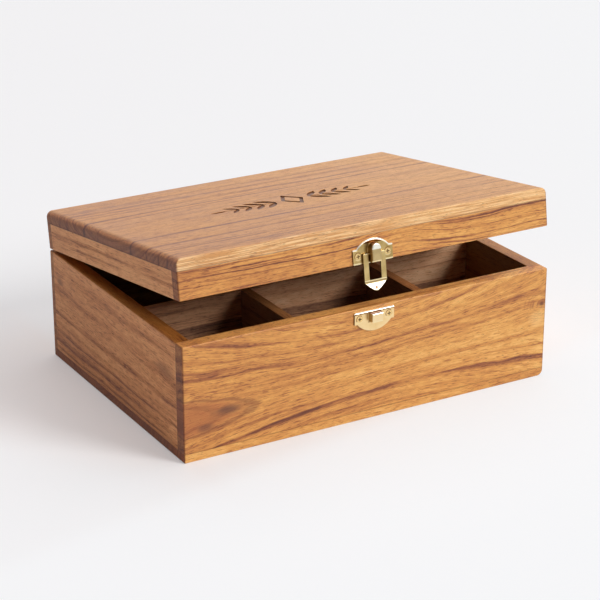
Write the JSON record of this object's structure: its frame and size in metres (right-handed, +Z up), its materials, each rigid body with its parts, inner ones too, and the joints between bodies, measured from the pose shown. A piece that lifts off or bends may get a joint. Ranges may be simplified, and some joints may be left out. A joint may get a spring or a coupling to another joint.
{
  "type": "hinged keepsake box",
  "caption": "Hinged wooden keepsake box with a raised lid, a partition and cross dividers, and a brass bail catch at the front.",
  "frame": {"origin": "centre of the underside of the box", "axes": "+X along the front towards the right, +Y from the front to the hinges, +Z up"},
  "size_m": [0.28, 0.2164, 0.1362],
  "materials": {
    "base_wood": "oiled hardwood with a satin sheen, honey brown with darker streaks",
    "lid_wood": "oiled hardwood with a satin sheen, the engraving darkened",
    "inner_wood": "sanded hardwood, hardly oiled",
    "brass": "pale gold, satin polished",
    "fixing_brass": "pale gold, bright"
  },
  "bodies": {
    "base": {"base_front": "base_wood", "base_back": "base_wood", "base_left": "base_wood", "base_right": "base_wood", "base_bottom": "base_wood", "partition_long": "inner_wood", "divider_left": "inner_wood", "divider_right": "inner_wood", "catch_plate": "brass", "catch_screws": "fixing_brass", "hinge_left_base_leaf": "brass", "hinge_right_base_leaf": "brass", "hinge_left_pin": "fixing_brass", "hinge_right_pin": "fixing_brass", "hinge_base_screws": "fixing_brass"},
    "lid": {"lid_top": "lid_wood", "lid_front": "lid_wood", "lid_back": "lid_wood", "lid_left": "lid_wood", "lid_right": "lid_wood", "latch_plate": "brass", "latch_screws": "fixing_brass", "hinge_left_lid_leaf": "brass", "hinge_right_lid_leaf": "brass", "hinge_lid_screws": "fixing_brass"},
    "bail": {"latch_bail": "brass"}
  },
  "joints": [
    {"name": "lid_hinge", "type": "hinge", "parent": "base", "child": "lid", "pos_m": [0, 0.10475, 0.0799], "axis": [-1, 0, 0], "range_deg": [-8.2, 86.8]},
    {"name": "bail_pivot", "type": "hinge", "parent": "lid", "child": "bail", "pos_m": [0, -0.10069, 0.11607], "axis": [-1, 0, 0], "range_deg": [0, 160]}
  ]
}
